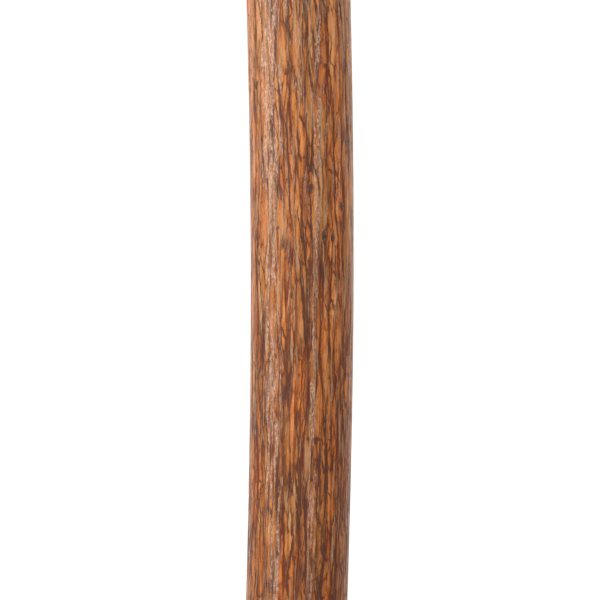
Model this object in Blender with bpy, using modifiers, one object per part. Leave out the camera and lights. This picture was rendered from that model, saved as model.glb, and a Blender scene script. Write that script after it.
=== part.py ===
"""Single point cane: a natural hardwood shaft, a derby handle on a threaded bolt, and a push-on rubber tip.

Metres, +Z up along the shaft. The origin is the middle of the rubber tip's ground face. The grip runs
along X, with its nose at -X and its tail at +X, and the handle is symmetric about the XZ plane.

From the ground up the cane is built as follows. The rubber tip holds a steel washer at the bottom of its
socket, and the shaft's turned foot stands on that washer. The shaft bows gently on its way up to a turned
tenon. A dark spacer, a brass collar and a second spacer sit round the tenon and the handle's spigot. A
hanger bolt runs through them: its wood thread is in the shaft and its machine thread in a brass insert
in the handle.
"""

import math

import bmesh
import bpy
from mathutils import Vector

# ---- Driving dimensions, in metres ----

OVERALL_HEIGHT = 0.940
TOUCHING_GAP = 0.0003  # between two faces that touch on the real cane
THREAD_CLEARANCE = 0.0003  # round a thread's crests, in the wood and in the insert

# Shaft
SHAFT_TOP_DIAMETER = 0.0276
SHAFT_LOW_DIAMETER = 0.0238  # just above the turned foot
SHAFT_SIDES = 32
SHAFT_RINGS = 60
FOOT_DIAMETER = 0.0222  # takes a 7/8 inch tip
FOOT_LENGTH = 0.036
FOOT_SHOWING = 0.0006  # left bare above the rubber tip
FOOT_TAPER_LENGTH = 0.010
FOOT_CHAMFER = 0.0012
TENON_DIAMETER = 0.0210  # the tenon and the handle's spigot are alike
SHOULDER_ROUND = 0.0008

# The shaft's natural bend. Both ends stay on the axis and parallel to it.
BOW_DEPTH = 0.0050  # one long bow towards +X
RIPPLE_DEPTH = 0.0012  # a shorter wave on top of the bow
RIPPLE_WAVES = 2
SWEEP_DEPTH = 0.0030  # an S bend along Y

# Swellings where twigs grew: share of the height, direction in degrees, how proud and how long
KNOTS = (
    (0.18, 70, 0.0009, 0.010),
    (0.34, 215, 0.0008, 0.009),
    (0.66, 320, 0.0010, 0.011),
    (0.81, 150, 0.0007, 0.008),
)
KNOT_SPREAD_DEGREES = 34

# Collar and spacers, and how far each stands proud of the shaft's top
COLLAR_HEIGHT = 0.0120
COLLAR_PROUD = 0.0012
BEAD_RADIUS = 0.0010
SPACER_THICKNESS = 0.0020
SPACER_PROUD = 0.0005

# Handle
HANDLE_HEIGHT = 0.0520  # from its shoulder to its crest
NOSE_REACH = 0.0430  # from the shaft's axis
TAIL_REACH = 0.0830
GRIP_DEPTH = 0.0265
GRIP_WIDTH = 0.0290
SHOULDER_PROUD = 0.0006  # beyond the shaft's top, all round

# Hanger bolt and the insert that it screws into
BOLT_DIAMETER = 0.0080
WOOD_THREAD_LENGTH = 0.0450
WOOD_THREAD_PITCH = 0.0030
WOOD_THREAD_DEPTH = 0.0011
MACHINE_THREAD_LENGTH = 0.0250
MACHINE_THREAD_PITCH = 0.00125
MACHINE_THREAD_DEPTH = 0.00065
BOLT_POINT_LENGTH = 0.0060
INSERT_WALL = 0.0017  # from the thread's clearance to the barbs' crests
INSERT_LENGTH = 0.0220
INSERT_BARB_PITCH = 0.0030
INSERT_BARB_DEPTH = 0.0008
INSERT_LIP = 0.0020

# Rubber tip and its washer
TIP_SOLE = 0.0120  # rubber under the washer
TIP_WALL = 0.0032
TIP_WAIST_FLARE = 0.0019  # how far the waist and the foot stand out beyond the sleeve's top
TIP_FOOT_FLARE = 0.0049
TIP_FOOT_HEIGHT = 0.0110
TIP_FOOT_ROUND = 0.0020
TIP_SOLE_ROUND = 0.0015
TIP_LIP_HEIGHT = 0.0040
TIP_LIP_PROUD = 0.0009
TREAD_DEPTH = 0.0018
TREAD_GROOVE = 0.0016
TREAD_RINGS = 4
WASHER_THICKNESS = 0.0020
WASHER_HOLE_DIAMETER = 0.0050

TURNED_STEPS = 48
BOLT_STEPS = 16
ARC_POINTS = 4

# ---- Heights that follow from them, from the ground up ----

WASHER_BOTTOM = TIP_SOLE + TOUCHING_GAP
WASHER_TOP = WASHER_BOTTOM + WASHER_THICKNESS
SHAFT_BOTTOM = WASHER_TOP + TOUCHING_GAP
FOOT_TOP = SHAFT_BOTTOM + FOOT_LENGTH
TIP_TOP = FOOT_TOP - FOOT_SHOWING
HANDLE_SHOULDER = OVERALL_HEIGHT - HANDLE_HEIGHT
UPPER_SPACER_TOP = HANDLE_SHOULDER - TOUCHING_GAP
UPPER_SPACER_BOTTOM = UPPER_SPACER_TOP - SPACER_THICKNESS
COLLAR_TOP = UPPER_SPACER_BOTTOM - TOUCHING_GAP
COLLAR_BOTTOM = COLLAR_TOP - COLLAR_HEIGHT
LOWER_SPACER_TOP = COLLAR_BOTTOM - TOUCHING_GAP
LOWER_SPACER_BOTTOM = LOWER_SPACER_TOP - SPACER_THICKNESS
SHAFT_SHOULDER = LOWER_SPACER_BOTTOM - TOUCHING_GAP
TENON_LENGTH = (HANDLE_SHOULDER - SHAFT_SHOULDER - TOUCHING_GAP) / 2
TENON_TOP = SHAFT_SHOULDER + TENON_LENGTH
SPIGOT_BOTTOM = TENON_TOP + TOUCHING_GAP
INSERT_BOTTOM = SPIGOT_BOTTOM + TOUCHING_GAP
INSERT_TOP = INSERT_BOTTOM + INSERT_LENGTH
BOLT_TOP = INSERT_BOTTOM + MACHINE_THREAD_LENGTH
BOLT_BOTTOM = TENON_TOP - WOOD_THREAD_LENGTH - BOLT_POINT_LENGTH

# ---- Radii that follow ----

SOCKET_RADIUS = FOOT_DIAMETER / 2 + TOUCHING_GAP
RING_BORE_RADIUS = TENON_DIAMETER / 2 + TOUCHING_GAP
BOLT_BORE_RADIUS = BOLT_DIAMETER / 2 + THREAD_CLEARANCE
INSERT_RADIUS = BOLT_BORE_RADIUS + INSERT_WALL
INSERT_BORE_RADIUS = INSERT_RADIUS + TOUCHING_GAP
SHOULDER_RADIUS = SHAFT_TOP_DIAMETER / 2 + SHOULDER_PROUD
BORE_END_ROOM = 0.0015


# ---- Scene helpers ----


def clear_scene():
    for obj in list(bpy.data.objects):
        bpy.data.objects.remove(obj, do_unlink=True)


def new_collection(name):
    collection = bpy.data.collections.new(name)
    bpy.context.scene.collection.children.link(collection)
    return collection


def make_material(name, colour, roughness, metallic=0.0):
    """A Principled BSDF of one colour."""
    material = bpy.data.materials.new(name)
    material.use_nodes = True
    shader = material.node_tree.nodes["Principled BSDF"]
    shader.inputs["Base Color"].default_value = (*colour, 1.0)
    shader.inputs["Roughness"].default_value = roughness
    shader.inputs["Metallic"].default_value = metallic
    return material


def add_object(name, mesh, collection, material=None):
    obj = bpy.data.objects.new(name, mesh)
    collection.objects.link(obj)
    if material:
        obj.data.materials.append(material)
    return obj


def hide_helper(obj):
    """A cutter or a joined-in shape: not a part of the cane."""
    obj.hide_render = True
    obj.display_type = "WIRE"
    return obj


def shade_smooth(obj, angle=30):
    obj.data.shade_smooth()
    obj.data.set_sharp_from_angle(angle=math.radians(angle))


def evaluated_mesh(obj):
    """The object's mesh with its modifiers applied."""
    graph = bpy.context.evaluated_depsgraph_get()
    return bpy.data.meshes.new_from_object(obj.evaluated_get(graph), depsgraph=graph)


# ---- Shapes ----


def turned(name, profile, collection, material=None, steps=TURNED_STEPS, ring=False):
    """A turned solid from (radius, height) points down its outer side. A ring's profile is closed."""
    points = [(radius, 0.0, height) for radius, height in profile]
    edges = [(i, i + 1) for i in range(len(points) - 1)]
    if ring:
        edges.append((len(points) - 1, 0))
    mesh = bpy.data.meshes.new(name)
    mesh.from_pydata(points, edges, [])
    obj = add_object(name, mesh, collection, material)
    screw = obj.modifiers.new("turn", "SCREW")
    screw.axis = "Z"
    screw.steps = steps
    screw.render_steps = steps
    screw.use_merge_vertices = True
    screw.merge_threshold = 0.00001
    screw.use_smooth_shade = True
    return obj


def arc(centre_radius, centre_height, radius, start, end, points=ARC_POINTS):
    """Points round a quarter or half circle in the profile plane, angles in degrees from +radius."""
    turn = [math.radians(start + (end - start) * i / points) for i in range(points + 1)]
    return [
        (centre_radius + radius * math.cos(a), centre_height + radius * math.sin(a))
        for a in turn
    ]


def add_boolean(obj, other, operation):
    modifier = obj.modifiers.new(operation.lower(), "BOOLEAN")
    modifier.operation = operation
    modifier.object = other
    modifier.solver = "EXACT"


def cylinder_helper(name, radius, bottom, top, collection, steps=TURNED_STEPS):
    """A plain upright cylinder on the axis, for cutting or joining."""
    bpy.ops.mesh.primitive_cylinder_add(
        vertices=steps,
        radius=radius,
        depth=top - bottom,
        location=(0, 0, (top + bottom) / 2),
    )
    obj = bpy.context.object
    obj.name = name
    for owner in obj.users_collection:
        owner.objects.unlink(obj)
    collection.objects.link(obj)
    return hide_helper(obj)


# ---- Shaft ----


def smooth_step(share):
    share = min(max(share, 0.0), 1.0)
    return share * share * (3 - 2 * share)


def shaft_offset(height):
    """Where the shaft's middle is at this height, off the axis: nothing at the foot and under the collar."""
    low, high = FOOT_TOP, SHAFT_SHOULDER
    share = min(max((height - low) / (high - low), 0.0), 1.0)
    held = math.sin(math.pi * share) ** 2
    ripple = math.cos(2 * math.pi * RIPPLE_WAVES * (share - 0.5))
    sweep = math.sin(2 * math.pi * share)
    return Vector((held * (BOW_DEPTH + RIPPLE_DEPTH * ripple), held * SWEEP_DEPTH * sweep, 0))


def shaft_radius(height):
    """The natural taper, from under the collar down to the turned foot."""
    share = (height - FOOT_TOP) / (SHAFT_SHOULDER - FOOT_TOP)
    natural = SHAFT_LOW_DIAMETER + share * (SHAFT_TOP_DIAMETER - SHAFT_LOW_DIAMETER)
    into_foot = smooth_step((height - FOOT_TOP) / FOOT_TAPER_LENGTH)
    return (FOOT_DIAMETER + into_foot * (natural - FOOT_DIAMETER)) / 2


def knot_swelling(height, angle):
    """How far the knots push the surface out here."""
    out = 0.0
    for share, direction, proud, length in KNOTS:
        along = (height - share * OVERALL_HEIGHT) / length
        turn = (math.degrees(angle) - direction + 180) % 360 - 180
        across = turn / KNOT_SPREAD_DEGREES
        out += proud * math.exp(-along * along - across * across)
    return out


def shaft_profile():
    """Down the outer side: tenon, shoulder, the natural length, the foot and its chamfer."""
    tenon = TENON_DIAMETER / 2
    foot = FOOT_DIAMETER / 2
    top = shaft_radius(SHAFT_SHOULDER)
    profile = [(0.0, TENON_TOP), (tenon - SHOULDER_ROUND, TENON_TOP), (tenon, TENON_TOP - SHOULDER_ROUND)]
    profile += [(tenon, SHAFT_SHOULDER), (top - SHOULDER_ROUND, SHAFT_SHOULDER)]
    start = SHAFT_SHOULDER - SHOULDER_ROUND
    for ring in range(SHAFT_RINGS):
        height = start + (FOOT_TOP - start) * ring / SHAFT_RINGS
        profile.append((shaft_radius(height), height))
    profile += [(foot, FOOT_TOP), (foot, SHAFT_BOTTOM + FOOT_CHAMFER)]
    profile += [(foot - FOOT_CHAMFER, SHAFT_BOTTOM), (0.0, SHAFT_BOTTOM)]
    return profile


def make_shaft(parts, helpers, material):
    """The turned profile, bent along the natural line and swollen at its knots, then bored for the bolt."""
    straight = turned("straight_shaft", shaft_profile(), helpers, steps=SHAFT_SIDES)
    mesh = evaluated_mesh(straight)
    bpy.data.objects.remove(straight, do_unlink=True)
    for vertex in mesh.vertices:
        out = Vector((vertex.co.x, vertex.co.y, 0))
        if FOOT_TOP < vertex.co.z < SHAFT_SHOULDER and out.length > 0:
            angle = math.atan2(out.y, out.x)
            vertex.co += out.normalized() * knot_swelling(vertex.co.z, angle)
        vertex.co += shaft_offset(vertex.co.z)
    shaft = add_object("shaft", mesh, parts, material)
    pilot = cylinder_helper(
        "shaft_pilot_cutter",
        BOLT_BORE_RADIUS,
        BOLT_BOTTOM - BORE_END_ROOM,
        TENON_TOP + TENON_LENGTH,
        helpers,
        steps=BOLT_STEPS,
    )
    add_boolean(shaft, pilot, "DIFFERENCE")
    shade_smooth(shaft)
    return shaft


# ---- Handle ----

SECTION_SIDES = 8
# A subdivided octagon draws in to this share of its radius, so the cage is drawn that much larger.
CAGE_DRAWS_IN = 2 / 3 + math.cos(math.tau / SECTION_SIDES) / 3
SUBDIVISIONS = 2
NECK_HALF = 0.0150  # the neck's root runs this far each way along the grip

# Stations along the grip: reach (a share of the nose's or the tail's), drop of the top line below the
# crest and of the bottom line below the bar's, as shares of the depth, and width as a share of the width
NOSE_STATIONS = (
    (-1.00, 0.78, -0.02, 0.42),
    (-0.90, 0.50, 0.16, 0.74),
    (-0.66, 0.20, 0.14, 0.93),
)
NECK_STATIONS = ((-1, 0.02, 0.04, 0.99), (0, 0.0, 0.0, 1.0), (1, 0.05, 0.0, 1.0))
TAIL_STATIONS = (
    (0.42, 0.17, 0.05, 0.96),
    (0.66, 0.22, 0.11, 0.95),
    (0.85, 0.19, 0.12, 0.97),
    (0.95, 0.27, 0.03, 0.80),
    (1.00, 0.47, -0.17, 0.40),
)
# The neck's rings, down from the bar: height above the shoulder as a share of the neck, and its radius
# as a share of the shoulder's
NECK_RINGS = ((0.78, 1.06), (0.45, 0.97), (0.16, 0.99), (-0.25, 1.0))


def grip_stations():
    """(x, middle height, half depth, half width) of each section along the grip, nose to tail."""
    reached = [(share * NOSE_REACH, *rest) if share < 0 else (share * TAIL_REACH, *rest)
               for share, *rest in NOSE_STATIONS]
    reached += [(side * NECK_HALF, *rest) for side, *rest in NECK_STATIONS]
    reached += [(share * TAIL_REACH, *rest) for share, *rest in TAIL_STATIONS]
    stations = []
    for x, top_drop, bottom_drop, width in reached:
        top = OVERALL_HEIGHT - top_drop * GRIP_DEPTH
        bottom = OVERALL_HEIGHT - (1 + bottom_drop) * GRIP_DEPTH
        stations.append((x, (top + bottom) / 2, (top - bottom) / 2, width * GRIP_WIDTH / 2))
    return stations


def add_section(cage, x, middle, half_depth, half_width):
    """An eight-sided section across the grip."""
    ring = []
    for side in range(SECTION_SIDES):
        angle = math.tau * side / SECTION_SIDES
        ring.append(
            cage.verts.new(
                (
                    x,
                    half_width / CAGE_DRAWS_IN * math.cos(angle),
                    middle + half_depth / CAGE_DRAWS_IN * math.sin(angle),
                )
            )
        )
    return ring


def draw_neck(cage, patch):
    """Extrudes the four faces under the bar into a round neck, one ring at a time."""
    bar_bottom = OVERALL_HEIGHT - GRIP_DEPTH
    neck = bar_bottom - HANDLE_SHOULDER
    radius = SHOULDER_RADIUS / CAGE_DRAWS_IN
    for share, wide in NECK_RINGS:
        made = bmesh.ops.extrude_face_region(cage, geom=patch)["geom"]
        bmesh.ops.delete(cage, geom=patch, context="FACES")
        patch = [item for item in made if isinstance(item, bmesh.types.BMFace)]
        for vertex in {vertex for face in patch for vertex in face.verts}:
            flat = Vector((vertex.co.x, vertex.co.y, 0))
            if flat.length > 0.001:
                turn = round(math.atan2(flat.y, flat.x) / (math.tau / SECTION_SIDES))
                angle = turn * math.tau / SECTION_SIDES
                flat = Vector((math.cos(angle), math.sin(angle), 0)) * radius * wide
            vertex.co = flat + Vector((0, 0, HANDLE_SHOULDER + share * neck))
    return patch


def handle_cage():
    """The coarse cage of the derby handle: sections along the grip, and a neck drawn down from them."""
    cage = bmesh.new()
    rings = [add_section(cage, *station) for station in grip_stations()]
    for one, other in zip(rings, rings[1:]):
        for side in range(SECTION_SIDES):
            after = (side + 1) % SECTION_SIDES
            cage.faces.new((one[side], one[after], other[after], other[side]))
    cage.faces.new(rings[0])
    cage.faces.new(rings[-1])
    first = len(NOSE_STATIONS)
    under = SECTION_SIDES * 3 // 4
    root = {rings[first + i][under + side] for i in range(3) for side in (-1, 0, 1)}
    patch = [face for face in cage.faces if all(vertex in root for vertex in face.verts)]
    draw_neck(cage, patch)
    bmesh.ops.recalc_face_normals(cage, faces=cage.faces)
    mesh = bpy.data.meshes.new("handle")
    cage.to_mesh(mesh)
    cage.free()
    return mesh


def make_handle(parts, helpers, material):
    """The subdivided cage, cut flat at the shoulder, with a spigot below it and a bore for the insert."""
    handle = add_object("handle", handle_cage(), parts, material)
    smooth = handle.modifiers.new("smooth", "SUBSURF")
    smooth.levels = SUBDIVISIONS
    smooth.render_levels = SUBDIVISIONS
    trim = cylinder_helper(
        "handle_shoulder_cutter",
        2 * SHOULDER_RADIUS,
        HANDLE_SHOULDER - HANDLE_HEIGHT,
        HANDLE_SHOULDER,
        helpers,
    )
    spigot = cylinder_helper(
        "handle_spigot",
        TENON_DIAMETER / 2,
        SPIGOT_BOTTOM,
        HANDLE_SHOULDER + TENON_LENGTH / 2,
        helpers,
    )
    bore = cylinder_helper(
        "handle_bore_cutter",
        INSERT_BORE_RADIUS,
        SPIGOT_BOTTOM - TENON_LENGTH,
        max(BOLT_TOP, INSERT_TOP) + BORE_END_ROOM,
        helpers,
        steps=TURNED_STEPS // 2,
    )
    add_boolean(handle, trim, "DIFFERENCE")
    add_boolean(handle, spigot, "UNION")
    add_boolean(handle, bore, "DIFFERENCE")
    shade_smooth(handle, angle=40)
    return handle


# ---- Collar and spacers ----


def make_collar(parts, material):
    """A brass band with a bead at each edge."""
    outer = SHAFT_TOP_DIAMETER / 2 + COLLAR_PROUD
    band = outer - BEAD_RADIUS
    profile = [(RING_BORE_RADIUS, COLLAR_TOP), (band, COLLAR_TOP)]
    profile += arc(band, COLLAR_TOP - BEAD_RADIUS, BEAD_RADIUS, 90, -90, points=2 * ARC_POINTS)[1:]
    profile += arc(band, COLLAR_BOTTOM + BEAD_RADIUS, BEAD_RADIUS, 90, -90, points=2 * ARC_POINTS)
    profile += [(RING_BORE_RADIUS, COLLAR_BOTTOM)]
    return turned("collar", profile, parts, material, ring=True)


def make_spacer(name, bottom, parts, material):
    """A dark washer with a rounded edge."""
    outer = SHAFT_TOP_DIAMETER / 2 + SPACER_PROUD
    edge = SPACER_THICKNESS / 2
    profile = [(RING_BORE_RADIUS, bottom + SPACER_THICKNESS)]
    profile += arc(outer - edge, bottom + edge, edge, 90, -90, points=2 * ARC_POINTS)
    profile += [(RING_BORE_RADIUS, bottom)]
    return turned(name, profile, parts, material, ring=True)


# ---- Hanger bolt and insert ----


def threads(top, length, pitch, crest, depth):
    """Ridges down a thread, from its top, drawn as rings."""
    points = []
    for turn in range(int(length / pitch)):
        start = top - turn * pitch
        points += [(crest - depth, start), (crest, start - pitch / 2)]
    points.append((crest - depth, top - int(length / pitch) * pitch))
    return points


def make_hanger_bolt(parts, material):
    """Machine thread above, plain shank in the collar, wood thread and point below."""
    crest = BOLT_DIAMETER / 2
    profile = [(0.0, BOLT_TOP), (crest - 2 * MACHINE_THREAD_DEPTH, BOLT_TOP)]
    machine_top = BOLT_TOP - MACHINE_THREAD_DEPTH
    machine_length = machine_top - INSERT_BOTTOM
    profile += threads(machine_top, machine_length, MACHINE_THREAD_PITCH, crest, MACHINE_THREAD_DEPTH)
    wood_top = TENON_TOP - WOOD_THREAD_PITCH
    profile += [(crest - MACHINE_THREAD_DEPTH, TENON_TOP), (crest - WOOD_THREAD_DEPTH, wood_top)]
    wood_bottom = BOLT_BOTTOM + BOLT_POINT_LENGTH
    wood = threads(wood_top, wood_top - wood_bottom, WOOD_THREAD_PITCH, crest, WOOD_THREAD_DEPTH)
    profile += wood[1:]
    profile.append((0.0, BOLT_BOTTOM))
    return turned("hanger_bolt", profile, parts, material, steps=BOLT_STEPS)


def make_insert(parts, material):
    """A brass bush with barbs outside that hold it in the handle, and a lip at its mouth."""
    outer = INSERT_RADIUS
    barbs_bottom = INSERT_BOTTOM + INSERT_LIP
    profile = [(BOLT_BORE_RADIUS, INSERT_TOP)]
    for barb in range(int((INSERT_TOP - barbs_bottom) / INSERT_BARB_PITCH)):
        start = INSERT_TOP - barb * INSERT_BARB_PITCH
        profile += [(outer - INSERT_BARB_DEPTH, start), (outer, start - 0.7 * INSERT_BARB_PITCH)]
    profile += [(outer - INSERT_BARB_DEPTH, barbs_bottom), (outer, barbs_bottom)]
    profile += [(outer, INSERT_BOTTOM), (BOLT_BORE_RADIUS, INSERT_BOTTOM)]
    return turned("handle_insert", profile, parts, material, steps=TURNED_STEPS // 2, ring=True)


# ---- Rubber tip ----


def tread(outer):
    """Rings cut into the ground face, from its rim in to a flat land round the middle."""
    pitch = outer / (TREAD_RINGS + 0.5)
    points = []
    for ring in range(TREAD_RINGS):
        radius = outer - pitch * (ring + 0.5)
        points += [
            (radius + TREAD_GROOVE / 2, 0.0),
            (radius + TREAD_GROOVE / 4, TREAD_DEPTH),
            (radius - TREAD_GROOVE / 4, TREAD_DEPTH),
            (radius - TREAD_GROOVE / 2, 0.0),
        ]
    return points


def make_rubber_tip(parts, material):
    """A bell-shaped ferrule: socket, rolled lip, tapered sleeve, waist and flared, grooved foot."""
    sleeve = SOCKET_RADIUS + TIP_WALL
    lip = sleeve + TIP_LIP_PROUD
    waist = sleeve + TIP_WAIST_FLARE
    foot = sleeve + TIP_FOOT_FLARE
    rim = TIP_LIP_HEIGHT / 2
    mouth_round = TIP_WALL / 3
    shoulder = foot - TIP_FOOT_ROUND
    cove = shoulder - waist
    profile = [(0.0, TIP_SOLE), (SOCKET_RADIUS, TIP_SOLE), (SOCKET_RADIUS, TIP_TOP - mouth_round)]
    profile += [(SOCKET_RADIUS + mouth_round, TIP_TOP)]
    profile += arc(lip - rim, TIP_TOP - rim, rim, 90, -60, points=2 * ARC_POINTS)
    profile += [(sleeve, TIP_TOP - TIP_LIP_HEIGHT)]
    profile += arc(shoulder, TIP_FOOT_HEIGHT + cove, cove, 180, 270)
    profile += arc(shoulder, TIP_FOOT_HEIGHT - TIP_FOOT_ROUND, TIP_FOOT_ROUND, 90, 0)[1:]
    profile += arc(foot - TIP_SOLE_ROUND, TIP_SOLE_ROUND, TIP_SOLE_ROUND, 0, -90)
    profile += tread(foot - TIP_SOLE_ROUND)
    profile.append((0.0, 0.0))
    return turned("rubber_tip", profile, parts, material)


def make_washer(parts, material):
    """The steel disc that stops the shaft punching through the rubber."""
    outer = SOCKET_RADIUS - TOUCHING_GAP
    hole = WASHER_HOLE_DIAMETER / 2
    edge = WASHER_THICKNESS / 4
    profile = [(hole, WASHER_TOP), (outer - edge, WASHER_TOP), (outer, WASHER_TOP - edge)]
    profile += [(outer, WASHER_BOTTOM + edge), (outer - edge, WASHER_BOTTOM), (hole, WASHER_BOTTOM)]
    return turned("tip_washer", profile, parts, material, ring=True)


def main():
    clear_scene()
    parts = new_collection("single_point_cane")
    helpers = new_collection("cutters")
    shaft_wood = make_material("shaft_wood", (0.42, 0.17, 0.06), 0.35)
    handle_wood = make_material("handle_wood", (0.35, 0.13, 0.045), 0.30)
    brass = make_material("brass", (0.72, 0.50, 0.20), 0.28, metallic=1.0)
    steel = make_material("steel", (0.60, 0.60, 0.62), 0.35, metallic=1.0)
    dark_fibre = make_material("dark_fibre", (0.025, 0.022, 0.020), 0.45)
    rubber = make_material("rubber", (0.020, 0.019, 0.018), 0.75)

    make_shaft(parts, helpers, shaft_wood)
    make_handle(parts, helpers, handle_wood)
    make_insert(parts, brass)
    make_hanger_bolt(parts, steel)
    make_spacer("upper_spacer", UPPER_SPACER_BOTTOM, parts, dark_fibre)
    make_collar(parts, brass)
    make_spacer("lower_spacer", LOWER_SPACER_BOTTOM, parts, dark_fibre)
    make_rubber_tip(parts, rubber)
    make_washer(parts, steel)


main()
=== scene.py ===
"""The single point cane's looks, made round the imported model.

The shaft, the handle, the collar and its spacers and the rubber tip are remade here at a finer grain than
the solids of the frame, from the sizes that the frame gives. The bolt, the insert and the washer keep their
solids. Sizes and places are in metres, in the frame of the model, except where a name ends in _MM, and in
the patterns of the materials, which are in millimetres.
"""

import math

import bmesh
import bpy
import numpy as np
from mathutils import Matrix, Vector


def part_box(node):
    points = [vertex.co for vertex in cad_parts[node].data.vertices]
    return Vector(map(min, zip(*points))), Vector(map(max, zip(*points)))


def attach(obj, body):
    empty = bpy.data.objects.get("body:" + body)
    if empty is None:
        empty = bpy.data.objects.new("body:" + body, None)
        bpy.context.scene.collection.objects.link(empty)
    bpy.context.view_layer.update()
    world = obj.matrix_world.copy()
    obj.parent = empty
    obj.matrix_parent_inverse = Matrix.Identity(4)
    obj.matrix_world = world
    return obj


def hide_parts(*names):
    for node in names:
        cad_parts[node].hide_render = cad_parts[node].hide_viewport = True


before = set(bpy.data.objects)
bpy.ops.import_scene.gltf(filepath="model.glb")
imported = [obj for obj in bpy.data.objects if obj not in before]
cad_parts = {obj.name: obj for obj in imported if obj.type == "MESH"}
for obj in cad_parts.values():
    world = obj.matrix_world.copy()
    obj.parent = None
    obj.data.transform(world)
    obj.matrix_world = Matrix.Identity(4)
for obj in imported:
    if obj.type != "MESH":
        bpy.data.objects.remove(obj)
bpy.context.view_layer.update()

MM = 0.001
GAP = 0.0003  # between neighbouring pieces

# ---- The shaft's mesh ----
CAD_SIDES = 32  # of the frame's shaft
SHAFT_SIDES = 168
ROW_PITCH = 0.0015
FOOT_BELOW = 0.055  # the frame's rings below this height are the turned foot's
TENON_ABOVE = 0.875  # and those above this one are the tenon's
SHOULDER_WIDTH = 0.0025
TENON_BEVEL = 0.0008
BORE_BELOW_BOLT = 0.0015
RELIEF = 0.00016  # how deep the fissures of the wood are

# ---- The shaft's wood ----
RIDGE_MM = (1.8, 21)  # how wide and how long the ridges of the pattern are
SCALE_MM = (1.35, 5.5)  # and the short scales
GIRTH_RADIUS_MM = 12.9  # about the shaft's mean radius
# Painted light and shade up the stick: the wood is paler for half a wave above this height, and darker for
# half a wave below it
PAINTED_LIGHT_HEIGHT_MM = 450
PAINTED_LIGHT_WAVE_MM = 95 * math.tau
# Where the pale bands are round the stick and how far they reach each way, in degrees. They are inner bark
# residue with painted sheen on it; the bands at -123 and -70 degrees face the view where the highlights fall
RESIDUE_AND_SHEEN_BANDS = ((-123, 10), (-70, 3), (-12, 5), (38, 8), (92, 7), (134, 9), (182, 7))
# The same of the dark bands, where the stain sank in deeper
DARK_BANDS = ((-81, 11), (-166, 8), (-38, 7), (8, 9), (66, 10), (112, 8), (152, 8))
# How the bands wander on their way up: degrees, height for each radian, and radians from band to band
BAND_WAVES = ((4, 0.047, 2.1), (3, 0.119, 1.3))
# Knots that don't swell: degrees round the stick, height and radius
FLAT_KNOTS_MM = ((-40, 475.9, 1.1), (-80, 480.4, 0.9), (-64, 468.6, 0.7), (-54, 468.1, 0.7), (24, 560, 1.3))
SWOLLEN_KNOT_MM = 3.2  # the radius of a knot in a swelling of the frame's shaft
SWELLING_LEAST = 0.0003  # what stands out less isn't a knot
SWELLING_REACH = 0.04  # up and down from its knot
KNOT_STRETCH = 1.5  # a knot is this much longer than it is wide

# ---- The turned pieces ----
TURNED_SIDES = 144
RING_BORE_RADIUS = 0.0108  # of the collar and the spacers
COLLAR_BEVEL = 0.0003
BEAD_RADIUS = 0.0010  # on both rims of the collar
BEAD_HOLLOW = ((0.0001, 0.0021), (0.0, 0.0025))  # beside a bead: outward from the sleeve, and from the rim

# ---- The rubber tip ----
SLEEVE_TOP_RADIUS = 0.0146
SLEEVE_FOOT_RADIUS = 0.0166
SLEEVE_END = 0.0044  # how far under the mouth the bead's hollow gives way to the sleeve
TIP_BEAD_RADIUS = 0.0020
TIP_BEAD_PROUD = 0.0009
TIP_SOCKET_RADIUS = 0.0114
TIP_LIP_RADIUS = 0.01115  # the mouth hugs the wood
TIP_LIP_BOTTOM = 0.0022  # under the mouth, as is the next
TIP_LIP_FULL = 0.0012
TIP_MOUTH_BEVEL = 0.0004
TIP_SOCKET_FLOOR = 0.0120
TIP_FOOT_HEIGHT = 0.0110
TIP_FOOT_SLOPE = 0.0003  # how far its top falls outward
TIP_FILLET_RADIUS = 0.0006  # between the sleeve and the foot
TIP_SHOULDER_RADIUS = 0.0022
TIP_EDGE_RADIUS = 0.0015
RIB_HEIGHTS = (0.0160, 0.0200, 0.0240, 0.0280)
RIB_DEPTH = 0.00035
RIB_SHAPE = ((0.0009, 0), (0.0005, 0.8), (0, 1), (-0.0005, 0.8), (-0.0009, 0))  # up, share of the depth
TREAD_PITCH = 0.0040
TREAD_DEPTH = 0.0018
TREAD_SHAPE = ((0.0008, 0), (0.0004, 1), (-0.0004, 1), (-0.0008, 0))  # outward, share of the depth
TREAD_COUNT = 4
FLASH_PROUD = 0.00012  # the mould's parting line

# ---- The handle ----
WELD = 0.00001  # corners of the frame's facets that are nearer than this are one
SKIN_VOXEL = 0.0007
SKIN_PASSES = 12

# ---- The view: a long lens on the middle of the shaft ----
LENS_DISTANCE = 2.5
SENSOR_MM = 36.0
FRAME_HEIGHT = 0.1495  # how much of the shaft is in view
VIEW_HEIGHT = 0.4527  # of the middle of the view
VIEW_ACROSS = 0.00565  # and how far it is from the cane's axis
FLOOR_SIZE = 12.0


# ---- Node trees ----


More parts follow.
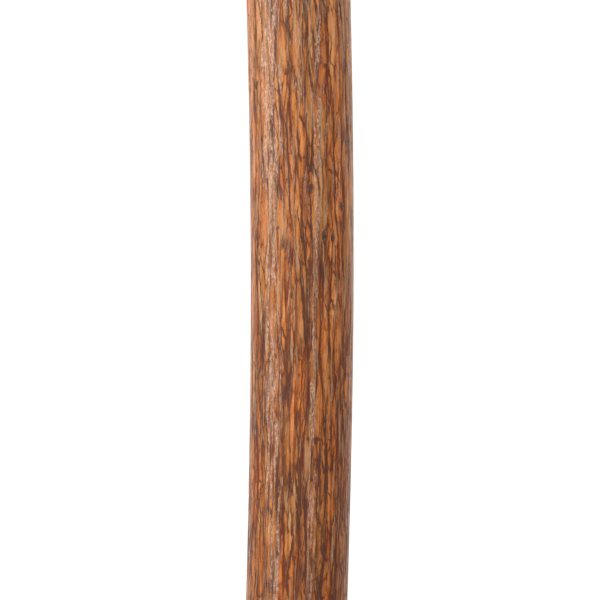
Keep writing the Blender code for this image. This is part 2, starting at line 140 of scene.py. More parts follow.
class Tree:
    """Adds nodes to a shader or geometry tree. Each call returns the new node's output."""

    def __init__(self, tree):
        self.tree = tree

    def add(self, kind, inputs=None, out=0, **settings):
        node = self.tree.nodes.new(kind)
        for name, value in settings.items():
            setattr(node, name, value)
        for key, value in (inputs or {}).items():
            if isinstance(value, bpy.types.NodeSocket):
                self.tree.links.new(value, node.inputs[key])
            else:
                node.inputs[key].default_value = value
        return node.outputs[out]

    def math(self, operation, a, b=0.0):
        return self.add("ShaderNodeMath", {0: a, 1: b}, operation=operation)

    def total(self, *terms):
        """The sum of each value times its weight."""
        result = 0.0
        for value, weight in terms:
            inputs = {0: value, 1: weight, 2: result}
            result = self.add("ShaderNodeMath", inputs, operation="MULTIPLY_ADD")
        return result

    def product(self, first, *others):
        for other in others:
            first = self.math("MULTIPLY", first, other)
        return first

    def less(self, value):
        """What is missing to one."""
        return self.math("SUBTRACT", 1.0, value)

    def vector(self, operation, a, b):
        return self.add("ShaderNodeVectorMath", {0: a, 1: b}, operation=operation)

    def scale(self, vector, factor):
        inputs = {"Vector": vector, "Scale": factor}
        return self.add("ShaderNodeVectorMath", inputs, operation="SCALE")

    def remap(self, value, low, high, to_low=0.0, to_high=1.0):
        """Smooth step from low to high."""
        inputs = {0: value, 1: low, 2: high, 3: to_low, 4: to_high}
        return self.add("ShaderNodeMapRange", inputs, interpolation_type="SMOOTHSTEP")

    def stretch(self, place, across, along):
        """The place in units of so many millimetres across the grain and along it."""
        return self.vector("MULTIPLY", place, (1 / across, 1 / across, 1 / along))

    def noise(self, place, across, along, detail=2.0, rough=0.5, shift=0.0, out=0):
        place = self.vector("ADD", self.stretch(place, across, along), (shift, -shift, 2 * shift))
        inputs = {"Vector": place, "Scale": 1.0, "Detail": detail, "Roughness": rough}
        return self.add("ShaderNodeTexNoise", inputs, out=out)

    def warp(self, place, across, along, push, detail=2.0, shift=0.0):
        """How far noise of this size pushes the place, by up to half of push each way."""
        noise = self.noise(place, across, along, detail=detail, rough=0.6, shift=shift, out=1)
        return self.vector("MULTIPLY", self.vector("SUBTRACT", noise, (0.5, 0.5, 0.5)), push)

    def axes(self, place):
        return [self.add("ShaderNodeSeparateXYZ", {0: place}, out=axis) for axis in range(3)]

    def unrolled(self, place, girth):
        """The stick's surface laid flat. It is cut open along the back."""
        x, y, z = self.axes(place)
        turn = self.math("ARCTAN2", x, self.math("MULTIPLY", y, -1.0))
        return self.add("ShaderNodeCombineXYZ", {0: self.math("MULTIPLY", turn, girth), 1: z})

    def cells(self, flat, across, along):
        """Three random numbers for each cell of a flat surface whose grain runs along its second axis."""
        inputs = {"Vector": self.vector("MULTIPLY", flat, (1 / across, 1 / along, 1)), "Scale": 1.0}
        return self.add("ShaderNodeTexVoronoi", inputs, out=1, voronoi_dimensions="2D")

    def cracks(self, flat, across, along, wide):
        """The borders between cells. They are as wide as told, and some are deeper than others."""
        aside = self.vector("ADD", flat, self.scale((1.0, 1.5, 0.0), wide))
        cells = [self.cells(place, across, along) for place in (flat, aside)]
        inputs = {0: cells[0], 1: cells[1]}
        apart = self.add("ShaderNodeVectorMath", inputs, out="Value", operation="DISTANCE")
        return self.remap(apart, 0.05, 0.50)

    def chance(self, flat, across, along):
        """Two of each cell's random numbers, and how far each point is from the cell's middle."""
        cells = self.cells(flat, across, along)
        first = self.add("ShaderNodeSeparateColor", {0: cells})
        return first, first.node.outputs[1], cells.node.outputs[0]

    def mix(self, share, a, b, blend="MIX"):
        """Colours."""
        inputs = {0: share, 6: a, 7: b}
        return self.add("ShaderNodeMix", inputs, out=2, data_type="RGBA", blend_type=blend)

    def ramp(self, value, *stops):
        node = self.add("ShaderNodeValToRGB", {0: value}).node
        while len(node.color_ramp.elements) < len(stops):
            node.color_ramp.elements.new(1.0)
        for element, (place, colour) in zip(node.color_ramp.elements, stops):
            element.position = place
            element.color = (*colour, 1.0)
        return node.outputs[0]


def rgb(*colour):
    return (*colour, 1.0)


class Material(Tree):
    def __init__(self, name, **uniform):
        self.material = bpy.data.materials.new(name)
        self.material.use_nodes = True
        super().__init__(self.material.node_tree)
        self.shader = self.tree.nodes["Principled BSDF"]
        for socket, value in uniform.items():
            self.shader.inputs[socket.replace("_", " ")].default_value = value

    def place_mm(self):
        """The place on the piece, in millimetres."""
        return self.scale(self.add("ShaderNodeTexCoord", out="Object"), 1 / MM)

    def height_mm(self):
        return self.axes(self.place_mm())[2]

    def finish(self, colour, rough, height, deep):
        inputs = {"Strength": 1.0, "Distance": deep, "Height": height}
        normal = self.add("ShaderNodeBump", inputs)
        self.tree.links.new(colour, self.shader.inputs["Base Color"])
        self.tree.links.new(rough, self.shader.inputs["Roughness"])
        self.tree.links.new(normal, self.shader.inputs["Normal"])
        return self.material


# ---- Wood of the shaft ----


def past_knots(tree, grain, knots):
    """Leads the grain round the knots, as water flows round a stone.

    Returns the place in the parted grain, and how much each point is in the eye of a knot."""
    eye = 0.0
    parted = grain
    ragged = tree.vector("ADD", grain, tree.warp(grain, 0.6, 1.2, (1.1, 1.1, 2.0), detail=3, shift=2.2))
    for centre, size in knots:
        away = tree.vector("SUBTRACT", ragged, centre)
        squeezed = tree.vector("MULTIPLY", away, (1, 1, 1 / KNOT_STRETCH))
        far = tree.add("ShaderNodeVectorMath", {0: squeezed}, out="Value", operation="LENGTH")
        far = tree.math("DIVIDE", far, size)
        share = tree.math("MINIMUM", tree.math("DIVIDE", 0.8, tree.product(far, far)), 1.0)
        share = tree.product(share, tree.remap(far, 2.5, 5.0, 1.0, 0.0))
        aside = tree.vector("MULTIPLY", away, (1, 1, 0))
        parted = tree.vector("SUBTRACT", parted, tree.scale(aside, share))
        eye = tree.math("MAXIMUM", eye, tree.remap(far, 0.35, 0.95, 1.0, 0.0))
    return parted, eye


def painted_light_wave(tree, grain):
    """How much painted light the stick has at each height, from -1, painted shade, to 1."""
    above = tree.math("SUBTRACT", tree.axes(grain)[2], PAINTED_LIGHT_HEIGHT_MM)
    return tree.math("SINE", tree.math("MULTIPLY", above, math.tau / PAINTED_LIGHT_WAVE_MM))


def bark(tree, grain):
    """The pattern of a debarked stick, from its place in the grain.

    Long ridges of clear wood are parted by fissures that run up the stick, and in places they break
    into short scales. Returns the torn place that the finer parts of the pattern start from, the same
    place unrolled, and how deep in a fissure each point is."""
    torn = tree.vector("ADD", grain, tree.warp(grain, 7, 38, (2.6, 2.6, 8.0)))
    torn = tree.vector("ADD", torn, tree.warp(grain, 2.0, 12, (0.65, 0.65, 6.0), detail=3))
    torn = tree.vector("ADD", torn, tree.warp(grain, 0.6, 1.8, (0.45, 0.45, 2.4), shift=7.7))
    flat = tree.unrolled(torn, GIRTH_RADIUS_MM)
    wide = tree.remap(tree.noise(grain, 3.0, 20, shift=6.6), 0.32, 0.68, 0.20, 0.64)
    ridge = tree.cracks(flat, *RIDGE_MM, wide)
    scale = tree.cracks(flat, *SCALE_MM, tree.product(wide, 0.8))
    ridge = tree.product(ridge, tree.remap(tree.noise(grain, 2.6, 16, shift=3.1), 0.30, 0.52))
    # Painted shade: more scales, with their dark fissures, where the painted light wave is low
    broken = tree.total((tree.noise(grain, 5.0, 14, shift=5.3), 1.0), (painted_light_wave(tree, grain), -0.07))
    scale = tree.product(scale, tree.remap(broken, 0.42, 0.54), 0.95)
    return torn, flat, tree.math("MAXIMUM", ridge, scale)


def clear_wood(tree, grain, torn, flat):
    """The colour of the ridges, with painted shade towards their borders and painted light and shade up the
    stick, the fine streaks in it, and how warm each ridge is.
    """
    ridge, warmth, ridge_edge_shade = tree.chance(flat, *RIDGE_MM)
    scale, _, edge = tree.chance(flat, *SCALE_MM)
    streak = tree.noise(torn, 0.60, 14, detail=3, rough=0.6, shift=1.7)
    column = tree.noise(torn, 2.4, 60, detail=2, shift=11.3)
    pore = tree.noise(grain, 0.28, 0.7, detail=2, rough=0.6, shift=3.9)
    drift = tree.noise(grain, 14, 30, detail=2, shift=8.2)
    # Painted shade: each ridge and scale darkens towards its borders as if rounded, and the painted light
    # wave makes the stick paler above its height and darker below
    tone = tree.total(
        (1.0, -0.37),
        (ridge, 0.26),
        (ridge_edge_shade, -0.50),
        (scale, 0.16),
        (edge, -0.35),
        (tree.remap(streak, 0.28, 0.72), 0.40),
        (column, 0.75),
        (drift, 0.18),
        (pore, 0.55),
        (painted_light_wave(tree, grain), 0.24),
    )
    colour = tree.ramp(
        tone,
        (0.00, (0.140, 0.040, 0.011)),
        (0.20, (0.240, 0.070, 0.016)),
        (0.42, (0.395, 0.124, 0.024)),
        (0.66, (0.550, 0.184, 0.040)),
        (0.98, (0.650, 0.280, 0.100)),
    )
    tint = tree.mix(warmth, rgb(1.04, 0.93, 0.92), rgb(0.96, 1.12, 1.50))
    return tree.mix(1.0, colour, tint, "MULTIPLY"), streak, warmth


def shaft_wood(knots):
    """A debarked stick under varnish: clear ridges, dark fissures, and what is left of the inner bark."""
    wood = Material("shaft_wood", Specular_IOR_Level=0.2, Coat_Weight=0.25, Coat_Roughness=0.2)
    grain = wood.add("ShaderNodeAttribute", out=1, attribute_name="grain")
    names = ("pale", "dark", "natural")
    band, dark, natural = (wood.add("ShaderNodeAttribute", out=2, attribute_name=name) for name in names)
    grain, eye = past_knots(wood, grain, knots)
    torn, flat, fissure = bark(wood, grain)
    colour, streak, warmth = clear_wood(wood, grain, torn, flat)
    sunk = wood.remap(wood.noise(torn, 1.4, 12, detail=2, rough=0.6, shift=17.2), 0.38, 0.60)
    colour = wood.mix(wood.product(dark, sunk, 0.60), colour, rgb(0.160, 0.062, 0.036))
    deep = wood.mix(warmth, rgb(0.125, 0.024, 0.012), rgb(0.062, 0.030, 0.022))
    colour = wood.mix(wood.product(fissure, 0.90), colour, deep)

    # Long grooves that wander up the stick
    line = wood.math("SUBTRACT", wood.noise(torn, 4.0, 90, detail=1, shift=12.6), 0.5)
    groove = wood.less(wood.remap(wood.math("ABSOLUTE", line), 0.004, 0.022))
    groove = wood.product(groove, wood.remap(wood.noise(torn, 2.0, 18, shift=13.1), 0.36, 0.50))
    colour = wood.mix(wood.product(groove, 0.85), colour, rgb(0.095, 0.034, 0.022))

    # Pale bands where the inner bark is still on, their speckle partly painted sheen, wider where the
    # painted light wave is bright
    wide = wood.noise(torn, 1.2, 32, detail=3, rough=0.6, shift=2.4)
    spread = wood.total((band, 0.7), (wide, 2.0), (painted_light_wave(wood, grain), 0.26))
    pale = wood.remap(spread, 1.12, 1.52)
    speckle = wood.noise(torn, 0.36, 0.9, detail=3, rough=0.75, shift=4.4)
    # The palest speckle is painted sheen
    crust_and_sheen = wood.ramp(
        speckle,
        (0.36, (0.170, 0.070, 0.038)),
        (0.50, (0.420, 0.225, 0.140)),
        (0.66, (0.780, 0.550, 0.420)),
    )
    shred = wood.remap(wood.noise(torn, 0.7, 10, detail=2, shift=6.1), 0.40, 0.54)
    residue_and_sheen = wood.product(pale, shred)
    colour = wood.mix(wood.product(residue_and_sheen, 0.80), colour, crust_and_sheen)

    # Pale threads all round the stick
    thread = wood.remap(wood.noise(torn, 0.7, 14, detail=2, rough=0.6, shift=15.4), 0.56, 0.66)
    straw = wood.mix(warmth, rgb(0.34, 0.17, 0.09), rgb(0.44, 0.30, 0.16))
    colour = wood.mix(wood.product(thread, 0.72), colour, straw)

    # Dark stains, the eyes of the knots, and the bare wood of the turned ends
    stain = wood.remap(wood.noise(torn, 0.7, 4, detail=3, rough=0.65, shift=9.3), 0.60, 0.68)
    stain = wood.math("MAXIMUM", wood.product(stain, 0.75), wood.product(eye, 0.9))
    colour = wood.mix(stain, colour, wood.mix(streak, rgb(0.030, 0.015, 0.012), rgb(0.110, 0.060, 0.050)))
    bare = wood.mix(wood.remap(streak, 0.3, 0.7), rgb(0.26, 0.12, 0.045), rgb(0.56, 0.34, 0.16))
    colour = wood.mix(natural, bare, colour)

    height = wood.total(
        (wood.math("MAXIMUM", fissure, groove), -1.0),
        (streak, 0.5),
        (wood.product(speckle, residue_and_sheen), 1.2),
        (eye, -0.8),
    )
    rough = wood.total((1.0, 0.36), (residue_and_sheen, 0.12), (natural, -0.02))
    return wood.finish(colour, rough, height, 0.00009)


# ---- The other materials ----


def handle_wood():
    """Stained hardwood under a satin varnish, with its grain along the grip."""
    wood = Material("handle_wood", Coat_Weight=0.45, Coat_Roughness=0.16, Specular_IOR_Level=0.3)
    place = wood.place_mm()
    # The noise helpers stretch along the third axis, so the grip's X is turned into it.
    x, y, z = wood.axes(place)
    grain = wood.add("ShaderNodeCombineXYZ", {0: y, 1: z, 2: x})
    bent = wood.vector("ADD", grain, wood.warp(grain, 14, 60, (7.0, 7.0, 10.0)))
    bent = wood.vector("ADD", bent, wood.warp(grain, 2.5, 22, (0.7, 0.7, 3.0), detail=3, shift=4.1))
    # The heart of the tree was beside the grip and below it, so the rings cross the grip as long arcs.
    heart = wood.vector("MULTIPLY", wood.vector("SUBTRACT", bent, (-26.0, 868.0, 0.0)), (1, 1, 0.16))
    rings = wood.add("ShaderNodeVectorMath", {0: heart}, out="Value", operation="LENGTH")
    late = wood.remap(wood.math("SINE", wood.product(rings, math.tau / 2.6)), -0.2, 1.0)
    fibre = wood.noise(bent, 0.30, 9, detail=3, rough=0.65, shift=1.9)
    pore = wood.remap(wood.noise(grain, 0.26, 3.6, detail=2, rough=0.6, shift=6.2), 0.60, 0.68)
    drift = wood.noise(grain, 16, 50, detail=2, shift=2.7)
    tone = wood.total((1.0, -0.35), (late, -0.26), (fibre, 0.8), (drift, 0.9))
    colour = wood.ramp(
        tone,
        (0.05, (0.120, 0.030, 0.008)),
        (0.35, (0.260, 0.072, 0.016)),
        (0.65, (0.420, 0.130, 0.028)),
        (0.95, (0.540, 0.205, 0.060)),
    )
    colour = wood.mix(wood.product(pore, 0.75), colour, rgb(0.040, 0.013, 0.006))
    # The palm has worn the stain thin along the crest.
    worn = wood.product(wood.remap(z, 926, 941), wood.remap(wood.noise(grain, 9, 30, shift=8.8), 0.35, 0.65))
    colour = wood.mix(wood.product(worn, 0.35), colour, rgb(0.56, 0.235, 0.075))
    rough = wood.total((1.0, 0.40), (worn, -0.10), (pore, 0.15))
    return wood.finish(colour, rough, wood.total((fibre, 0.5), (pore, -1.0)), 0.00006)


def brass():
    """Turned and polished, with brown patina where a cloth doesn't reach."""
    metal = Material("brass", Metallic=1.0)
    place = metal.place_mm()
    lathe = metal.noise(place, 30, 0.05, detail=2, rough=0.7)
    cloud = metal.noise(place, 3.5, 3.5, detail=4, rough=0.6, shift=3.3)
    speck = metal.remap(metal.noise(place, 0.5, 0.5, detail=2, shift=7.1), 0.62, 0.70)
    low, high = (corner[2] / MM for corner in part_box("collar"))
    from_middle = metal.math("ABSOLUTE", metal.math("SUBTRACT", metal.height_mm(), (low + high) / 2))
    neck = (high - low) / 2 - 2 * BEAD_RADIUS / MM
    from_neck = metal.math("ABSOLUTE", metal.math("SUBTRACT", from_middle, neck))
    crease = metal.remap(from_neck, 0.0, 0.9, 1.0, 0.0)
    patina = metal.total((crease, 0.6), (metal.remap(cloud, 0.40, 0.72), 0.35), (speck, 0.4))
    colour = metal.mix(patina, rgb(0.86, 0.60, 0.25), rgb(0.34, 0.185, 0.065))
    rough = metal.total((1.0, 0.14), (lathe, 0.16), (patina, 0.30))
    return metal.finish(colour, rough, metal.total((lathe, 1.0), (speck, -0.6)), 0.00002)


def steel():
    """Zinc plated."""
    metal = Material("steel", Metallic=1.0)
    place = metal.place_mm()
    cloud = metal.noise(place, 2.0, 2.0, detail=4, rough=0.65)
    spangle = metal.remap(metal.noise(place, 1.4, 1.4, detail=0, shift=9.9), 0.5, 0.55)
    colour = metal.mix(metal.remap(cloud, 0.3, 0.7), rgb(0.42, 0.43, 0.45), rgb(0.66, 0.67, 0.68))
    colour = metal.mix(metal.product(spangle, 0.25), colour, rgb(0.75, 0.74, 0.66))
    rough = metal.total((1.0, 0.24), (cloud, 0.25))
    return metal.finish(colour, rough, cloud, 0.00002)


def dark_fibre():
    """Vulcanised fibre, polished with the collar."""
    fibre = Material("dark_fibre", Specular_IOR_Level=0.45)
    place = fibre.place_mm()
    layer = fibre.noise(place, 12, 0.16, detail=3, rough=0.6)
    fleck = fibre.remap(fibre.noise(place, 0.4, 0.12, detail=2, shift=5.5), 0.60, 0.70)
    colour = fibre.mix(fibre.remap(layer, 0.35, 0.7), rgb(0.010, 0.008, 0.007), rgb(0.036, 0.022, 0.015))
    colour = fibre.mix(fibre.product(fleck, 0.5), colour, rgb(0.090, 0.055, 0.035))
    rough = fibre.total((1.0, 0.30), (layer, 0.25))
    return fibre.finish(colour, rough, fibre.total((layer, 1.0), (fleck, 0.5)), 0.00003)


def rubber():
    """Moulded rubber, dusty low down and scuffed on the edge that meets the ground."""
    gum = Material("rubber", Specular_IOR_Level=0.4)
    place = gum.place_mm()
    grit = gum.noise(place, 0.20, 0.20, detail=3, rough=0.7)
    cloud = gum.noise(place, 5, 5, detail=4, rough=0.6, shift=2.9)
    scrape = gum.noise(place, 2.6, 0.25, detail=3, rough=0.7, shift=6.6)
    up = gum.height_mm()
    dust = gum.product(gum.remap(up, 2.0, 30.0, 1.0, 0.25), gum.remap(cloud, 0.35, 0.70))
    edge = gum.product(gum.remap(up, 0.4, 4.5, 1.0, 0.0), gum.remap(scrape, 0.42, 0.60))
    bloom = gum.remap(grit, 0.56, 0.66)
    colour = gum.mix(dust, rgb(0.014, 0.014, 0.015), rgb(0.052, 0.048, 0.044))
    colour = gum.mix(gum.product(edge, 0.7), colour, rgb(0.125, 0.112, 0.098))
    colour = gum.mix(gum.product(bloom, 0.25), colour, rgb(0.085, 0.082, 0.080))
    rough = gum.total((1.0, 0.52), (dust, 0.25), (edge, 0.15), (grit, 0.1))
    return gum.finish(colour, rough, gum.total((grit, 1.0), (edge, -0.8)), 0.00006)


# ---- Meshes ----


def mesh_object(name, points, faces, material, sharp=40):
    mesh = bpy.data.meshes.new(name)
    mesh.from_pydata(points, [], faces)
    mesh.update()
    mesh.shade_smooth()
    mesh.set_sharp_from_angle(angle=math.radians(sharp))
    obj = bpy.data.objects.new(name, mesh)
    bpy.context.scene.collection.objects.link(obj)
    mesh.materials.append(material)
    return obj


def stand_in(piece, body, node):
    """The piece takes the node's place, and moves with the body."""
    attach(piece, body)
    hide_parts(node)


def skin_faces(rows, sides, closed):
    """Quads between rings of points, row by row. Open rows end on a point at both ends."""
    index = np.arange(rows * sides).reshape(rows, sides)
    if closed:
        index = np.vstack([index, index[:1]])
    right = np.roll(index, -1, axis=1)
    quads = np.stack([index[:-1], right[:-1], right[1:], index[1:]], axis=2).reshape(-1, 4)
    if closed:
        return quads.tolist()
    first, last = rows * sides, rows * sides + 1
    caps = [(right[0, side], index[0, side], first) for side in range(sides)]
    caps += [(index[-1, side], right[-1, side], last) for side in range(sides)]
    return quads.tolist() + caps


# ---- The shaft's mesh ----


def outer_rings(node, level_step=0.02 * MM, point_step=0.002 * MM):
    """Rings of the CAD shaft as {height: points round it}, each point a complex number x + iy."""
    corners = np.array([tuple(v.co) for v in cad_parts[node].data.vertices])
    levels = np.round(corners[:, 2] / level_step).astype(int)
    rings = {}
    for level in np.unique(levels):
        ring = np.unique(np.round(corners[levels == level] / point_step), axis=0) * point_step
        if len(ring) != CAD_SIDES:
            continue
        points = ring[:, 0] + 1j * ring[:, 1]
        turn = np.round(np.angle(points - points.mean()) / (math.tau / CAD_SIDES)).astype(int) % CAD_SIDES
        placed = np.empty(CAD_SIDES, complex)
        placed[turn] = points
        rings[ring[:, 2].mean()] = placed
    return rings


def finer_ring(points, sides):
    """The smooth closed curve through these points, at more places."""
    waves = np.fft.fft(points)
    half = len(points) // 2
    padded = np.zeros(sides, complex)
    padded[:half] = waves[:half]
    padded[-half:] = waves[-half:]
    return np.fft.ifft(padded) * sides / len(points)


def through(heights, rings, at):
    """The smooth curve up the stick through the rings, at these heights."""
    spans = np.clip(np.searchsorted(heights, at, side="right") - 1, 0, len(heights) - 2)
    share = ((at - heights[spans]) / (heights[spans + 1] - heights[spans]))[:, None]
    before = rings[np.maximum(spans - 1, 0)]
    start, end = rings[spans], rings[spans + 1]
    after = rings[np.minimum(spans + 2, len(heights) - 1)]
    rise = (end - before) / 2
    leave = (after - start) / 2
    cube, square = share**3, share**2
    return (
        start * (2 * cube - 3 * square + 1)
        + rise * (cube - 2 * square + share)
        + end * (3 * square - 2 * cube)
        + leave * (cube - square)
    )


def find_knots(heights, rings):
    """Where the CAD shaft swells, with the flat knots: centres in the straightened grain, and radii."""
    radii = abs(rings - rings.mean(axis=1, keepdims=True))
    swelling = radii - np.median(radii, axis=1, keepdims=True)
    spots = []
    while swelling.max() > SWELLING_LEAST:
        row, side = np.unravel_index(swelling.argmax(), swelling.shape)
        spots.append((360 * side / rings.shape[1], heights[row] / MM, SWOLLEN_KNOT_MM))
        swelling[abs(heights - heights[row]) < SWELLING_REACH] = 0
    girth = radii.mean() / MM
    knots = []
    for degrees, height, size in (*spots, *FLAT_KNOTS_MM):
        turn = math.radians(degrees)
        knots.append(((girth * math.cos(turn), girth * math.sin(turn), height), size))
    return knots


def cover(turn, at, bands):
    """How much these bands, which run up the stick, cover each point."""
    strength = np.zeros(turn.shape)
    for place, (degrees, width) in enumerate(bands):
        wander = sum(swing * np.sin(at / rise + shift * place) for swing, rise, shift in BAND_WAVES)
        away = np.degrees(turn) - (degrees + wander)[:, None]
        away = (away + 180) % 360 - 180
        strength = np.maximum(strength, np.exp(-((away / width) ** 2)))
    return strength


def add_attribute(obj, name, kind, values):
    attribute = obj.data.attributes.new(name, kind, "POINT")
    field = "vector" if kind == "FLOAT_VECTOR" else "value"
    attribute.data.foreach_set(field, np.ascontiguousarray(values, np.float32).ravel())


def tenon_steps(radius):
    """The shoulder, the tenon and its bore for the bolt, as steps of (radius, height)."""
    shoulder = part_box("lower_spacer")[0][2] - GAP
    (_, _, bolt_foot), (bolt_radius, _, _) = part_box("hanger_bolt")
    bore = bolt_radius + GAP
    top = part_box("shaft")[1][2]
    return (
        (radius + SHOULDER_WIDTH, shoulder),
        (radius, shoulder),
        (radius, top - TENON_BEVEL),
        (radius - TENON_BEVEL, top),
        (bore, top),
        (bore, bolt_foot - BORE_BELOW_BOLT),
    )


def make_shaft():
    """Natural between its turned foot and its shoulder, with a turned tenon on top."""
    rings = outer_rings("shaft")
    levels = np.array(sorted(rings))
    foot = levels[levels < FOOT_BELOW]
    tenon = levels[levels > TENON_ABOVE]
    grown = levels[(levels >= foot[-1]) & (levels < tenon[0])]
    fine = {level: finer_ring(rings[level], SHAFT_SIDES) for level in levels}
    at = np.linspace(grown[0], grown[-1], round((grown[-1] - grown[0]) / ROW_PITCH) + 1)
    rows = through(grown, np.array([fine[level] for level in grown]), at)

    lathed = tenon_steps(abs(fine[tenon[0]]).mean())
    round_ring = np.exp(1j * math.tau * np.arange(SHAFT_SIDES) / SHAFT_SIDES)
    foot_rows = [fine[level] for level in foot[:-1]]
    all_rows = np.array([*foot_rows, *rows, *(round_ring * radius for radius, _ in lathed)])
    all_at = np.array([*foot[:-1], *at, *(height for _, height in lathed)])
    natural = np.zeros(len(all_at))
    natural[len(foot) : len(foot) + len(at)] = 1

    middles = all_rows.mean(axis=1, keepdims=True)
    turn = np.angle(all_rows - middles)
    girth = abs(rows - rows.mean(axis=1, keepdims=True)).mean()
    heights = np.repeat(all_at[:, None], SHAFT_SIDES, 1)
    points = np.stack([all_rows.real, all_rows.imag, heights], axis=2).reshape(-1, 3)
    grain = np.stack([girth * np.cos(turn), girth * np.sin(turn), heights], axis=2).reshape(-1, 3) / MM
    ends = np.array([(0, 0, all_at[0]), (0, 0, all_at[-1])])

    knots = find_knots(grown, np.array([rings[level] for level in grown]))
    faces = skin_faces(len(all_rows), SHAFT_SIDES, closed=False)
    shaft = mesh_object("shaft_visible", np.vstack([points, ends]).tolist(), faces, shaft_wood(knots))
    add_attribute(shaft, "grain", "FLOAT_VECTOR", np.vstack([grain, ends / MM]))
    add_attribute(shaft, "pale", "FLOAT", [*cover(turn, all_at, RESIDUE_AND_SHEEN_BANDS).ravel(), 0, 0])
    add_attribute(shaft, "dark", "FLOAT", [*cover(turn, all_at, DARK_BANDS).ravel(), 0, 0])
    add_attribute(shaft, "natural", "FLOAT", [*np.repeat(natural, SHAFT_SIDES), 0, 0])
    carve(shaft, knots)
    stand_in(shaft, "cane", "shaft")


def carve(shaft, knots):
    """Sinks the fissures of the wood's own pattern into the mesh."""
    group = bpy.data.node_groups.new("carve", "GeometryNodeTree")
    group.interface.new_socket("Geometry", in_out="INPUT", socket_type="NodeSocketGeometry")
    group.interface.new_socket("Geometry", in_out="OUTPUT", socket_type="NodeSocketGeometry")
    tree = Tree(group)
    given = tree.add("NodeGroupInput")
    grain = tree.add("GeometryNodeInputNamedAttribute", {"Name": "grain"}, data_type="FLOAT_VECTOR")
    natural = tree.add("GeometryNodeInputNamedAttribute", {"Name": "natural"}, data_type="FLOAT")
    normal = tree.add("GeometryNodeInputNormal")
    grain, eye = past_knots(tree, grain, knots)
    _, _, fissure = bark(tree, grain)
    deep = tree.product(tree.math("MAXIMUM", fissure, eye), natural, -RELIEF)
    moved = tree.add("GeometryNodeSetPosition", {"Geometry": given, "Offset": tree.scale(normal, deep)})
    end = group.nodes.new("NodeGroupOutput")
    group.links.new(moved, end.inputs[0])
    shaft.modifiers.new("carve", "NODES").node_group = group


# ---- Turned pieces ----


def arc(radius, height, size, start, end, steps=8):
    """Points of (radius, height) on an arc about a point of the section. Zero degrees points outward."""
    turns = np.radians(np.linspace(start, end, steps + 1))
    return [(radius + size * math.cos(turn), height + size * math.sin(turn)) for turn in turns]


def turned(name, outline, material, closed):
    """The outline of (radius, height) points, turned about the axis. An open one starts and ends on it."""
    if not closed:
        (_, first), *outline, (_, last) = outline
    turns = math.tau * np.arange(TURNED_SIDES) / TURNED_SIDES
    points = [(r * math.cos(turn), r * math.sin(turn), z) for r, z in outline for turn in turns]
    if not closed:
        points += [(0, 0, first), (0, 0, last)]
    return mesh_object(name, points, skin_faces(len(outline), TURNED_SIDES, closed), material, sharp=32)


def make_collar(material):
    """A straight sleeve with a bead on each rim."""
    (_, _, low), (radius, _, high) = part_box("collar")
    sleeve = radius - BEAD_RADIUS
    bore = RING_BORE_RADIUS
    outline = [(bore + COLLAR_BEVEL, low), *arc(sleeve, low + BEAD_RADIUS, BEAD_RADIUS, -90, 80)]
    outline += [(sleeve + out, low + along) for out, along in BEAD_HOLLOW]
    outline += [(sleeve + out, high - along) for out, along in reversed(BEAD_HOLLOW)]
    outline += arc(sleeve, high - BEAD_RADIUS, BEAD_RADIUS, -80, 90)
    outline += [(bore + COLLAR_BEVEL, high), (bore, high - COLLAR_BEVEL), (bore, low + COLLAR_BEVEL)]
    stand_in(turned("collar_visible", outline, material, True), "cane", "collar")


def make_spacer(node, material):
    """A washer with a rounded rim."""
    (_, _, low), (radius, _, high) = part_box(node)
    rim = (high - low) / 2
    outline = [(RING_BORE_RADIUS, low), *arc(radius - rim, low + rim, rim, -90, 90, 14)]
    outline.append((RING_BORE_RADIUS, high))
    stand_in(turned(node + "_visible", outline, material, True), "cane", node)


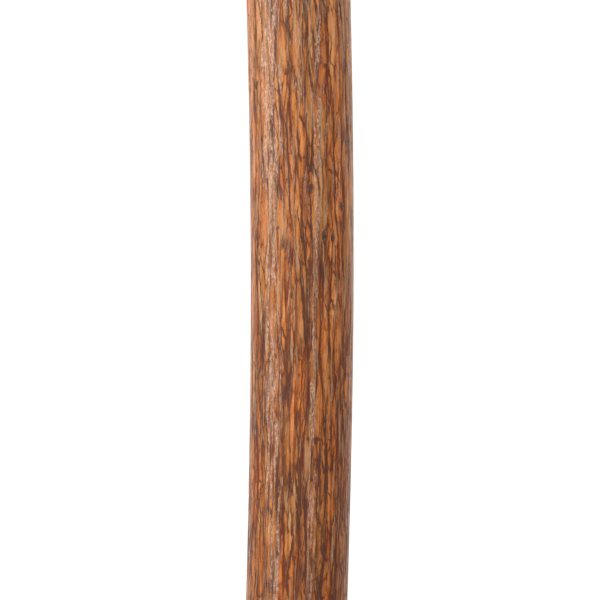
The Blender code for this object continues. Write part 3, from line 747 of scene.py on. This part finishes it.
def make_rubber_tip(material):
    """A flared foot with ring treads, a ribbed sleeve that tapers up, and a bead round the mouth."""
    (_, _, sole), (foot, _, top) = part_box("rubber_tip")
    under_bead = top - 2 * TIP_BEAD_RADIUS

    def sleeve(height):
        share = (height - TIP_FOOT_HEIGHT) / (under_bead - TIP_FOOT_HEIGHT)
        return SLEEVE_FOOT_RADIUS + (SLEEVE_TOP_RADIUS - SLEEVE_FOOT_RADIUS) * share

    # The socket and its lip
    outline = [(0, TIP_SOCKET_FLOOR), (TIP_SOCKET_RADIUS, TIP_SOCKET_FLOOR)]
    outline += [(TIP_SOCKET_RADIUS, top - TIP_LIP_BOTTOM), (TIP_LIP_RADIUS, top - TIP_LIP_FULL)]
    outline += [(TIP_LIP_RADIUS, top - TIP_MOUTH_BEVEL), (TIP_LIP_RADIUS + TIP_MOUTH_BEVEL, top)]

    # The bead and the sleeve
    bead = SLEEVE_TOP_RADIUS + TIP_BEAD_PROUD - TIP_BEAD_RADIUS
    outline += arc(bead, top - TIP_BEAD_RADIUS, TIP_BEAD_RADIUS, 90, -52, 12)
    outline.append((sleeve(top - SLEEVE_END), top - SLEEVE_END))
    for rib in reversed(RIB_HEIGHTS):
        for up, share in RIB_SHAPE:
            outline.append((sleeve(rib + up) - share * RIB_DEPTH, rib + up))

    # The foot and its treads
    fillet = TIP_FILLET_RADIUS
    fillet_height = TIP_FOOT_HEIGHT + TIP_FOOT_SLOPE + fillet
    outline += arc(sleeve(TIP_FOOT_HEIGHT) + fillet, fillet_height, fillet, 180, 270, 4)
    shoulder = TIP_SHOULDER_RADIUS
    outline += arc(foot - shoulder, TIP_FOOT_HEIGHT - shoulder, shoulder, 90, 0)
    outline += arc(foot - TIP_EDGE_RADIUS, sole + TIP_EDGE_RADIUS, TIP_EDGE_RADIUS, 0, -90)
    for ring in range(TREAD_COUNT, 0, -1):
        for out, share in TREAD_SHAPE:
            outline.append((ring * TREAD_PITCH + out, sole + share * TREAD_DEPTH))
    outline.append((0, sole))

    tip = turned("rubber_tip_visible", outline, material, closed=False)
    # The mould's two halves met in the XZ plane.
    half_turn = TURNED_SIDES // 2
    for vertex in list(tip.data.vertices)[::half_turn]:
        x, _, z = vertex.co
        outside = SLEEVE_TOP_RADIUS < abs(x) < foot - FLASH_PROUD
        if outside and TIP_EDGE_RADIUS < z < under_bead:
            vertex.co.x += math.copysign(FLASH_PROUD, x)
    stand_in(tip, "tip", "rubber_tip")


# ---- The handle ----


def make_handle(material):
    """The CAD handle with its facets smoothed away."""
    welded = bmesh.new()
    welded.from_mesh(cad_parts["handle"].data)
    bmesh.ops.remove_doubles(welded, verts=welded.verts, dist=WELD)
    points = [tuple(vertex.co) for vertex in welded.verts]
    faces = [[vertex.index for vertex in face.verts] for face in welded.faces]
    welded.free()
    handle = mesh_object("handle_visible", points, faces, material)
    skin = handle.modifiers.new("skin", "REMESH")
    skin.mode = "VOXEL"
    skin.voxel_size = SKIN_VOXEL
    skin.use_smooth_shade = True
    smooth = handle.modifiers.new("smooth", "SMOOTH")
    smooth.factor = 0.5
    smooth.iterations = SKIN_PASSES
    stand_in(handle, "cane", "handle")


def refinish(node, material):
    """A CAD node that keeps its shape."""
    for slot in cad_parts[node].material_slots:
        slot.material = material


# ---- Light and view ----


def soft_box(name, azimuth, elevation, distance, size, power, aim):
    """A box of light that shines on the cane's axis at the height of its aim. Angles are in degrees."""
    light = bpy.data.lights.new(name, "AREA")
    light.shape = "RECTANGLE"
    light.size, light.size_y = size
    light.energy = power
    obj = bpy.data.objects.new(name, light)
    bpy.context.scene.collection.objects.link(obj)
    a, e = math.radians(azimuth), math.radians(elevation)
    back = Vector((math.sin(a) * math.cos(e), -math.cos(a) * math.cos(e), math.sin(e)))
    obj.location = Vector((0, 0, aim)) + back * distance
    obj.rotation_euler = (-back).to_track_quat("-Z", "Y").to_euler()
    return obj


def make_light():
    """A white room: bright behind the cane, dimmer in front, with two soft boxes on the left and a fill."""
    world = bpy.data.worlds.new("studio")
    bpy.context.scene.world = world
    world.use_nodes = True
    tree = Tree(world.node_tree)
    seen = tree.add("ShaderNodeLightPath", out="Is Camera Ray")
    place = tree.add("ShaderNodeTexCoord", out="Generated")
    along = tree.add("ShaderNodeSeparateXYZ", {0: place}, out=1)
    strength = tree.math("MAXIMUM", seen, tree.remap(along, 0.2, 0.98, 0.24, 1.1))
    back = world.node_tree.nodes["Background"]
    colour = tree.mix(seen, rgb(1.0, 0.92, 0.87), rgb(1.0, 1.0, 1.0))
    world.node_tree.links.new(colour, back.inputs["Color"])
    world.node_tree.links.new(strength, back.inputs["Strength"])
    soft_box("key", azimuth=-75, elevation=5, distance=1.0, size=(0.30, 0.70), power=10, aim=0.84)
    soft_box("front", azimuth=-42, elevation=0, distance=1.0, size=(0.25, 0.40), power=6, aim=0.88)
    fill = soft_box("fill", azimuth=48, elevation=5, distance=1.6, size=(0.60, 1.2), power=15, aim=0.85)
    fill.visible_glossy = False


def make_camera():
    """Level, in front of the cane."""
    data = bpy.data.cameras.new("view")
    data.sensor_width = SENSOR_MM
    data.lens = SENSOR_MM * LENS_DISTANCE / FRAME_HEIGHT
    data.clip_start, data.clip_end = 0.1, 100
    camera = bpy.data.objects.new("view", data)
    bpy.context.scene.collection.objects.link(camera)
    camera.location = (VIEW_ACROSS, -LENS_DISTANCE, VIEW_HEIGHT)
    camera.rotation_euler = (math.radians(90), 0, 0)
    bpy.context.scene.camera = camera


def make_floor():
    """Only its shadows show, so that the room stays white."""
    half = FLOOR_SIZE / 2
    corners = [(-half, -half, 0), (half, -half, 0), (half, half, 0), (-half, half, 0)]
    paint = Material("floor", Base_Color=rgb(0.8, 0.8, 0.8), Roughness=0.6).material
    floor = mesh_object("floor", corners, [(0, 1, 2, 3)], paint)
    floor.is_shadow_catcher = True


make_camera()
make_light()
make_floor()
make_shaft()
make_handle(handle_wood())
gold = brass()
make_collar(gold)
fibre = dark_fibre()
make_spacer("lower_spacer", fibre)
make_spacer("upper_spacer", fibre)
make_rubber_tip(rubber())
zinc = steel()
refinish("hanger_bolt", zinc)
refinish("tip_washer", zinc)
refinish("handle_insert", gold)
bpy.context.scene.view_settings.view_transform = "Standard"
bpy.context.view_layer.update()
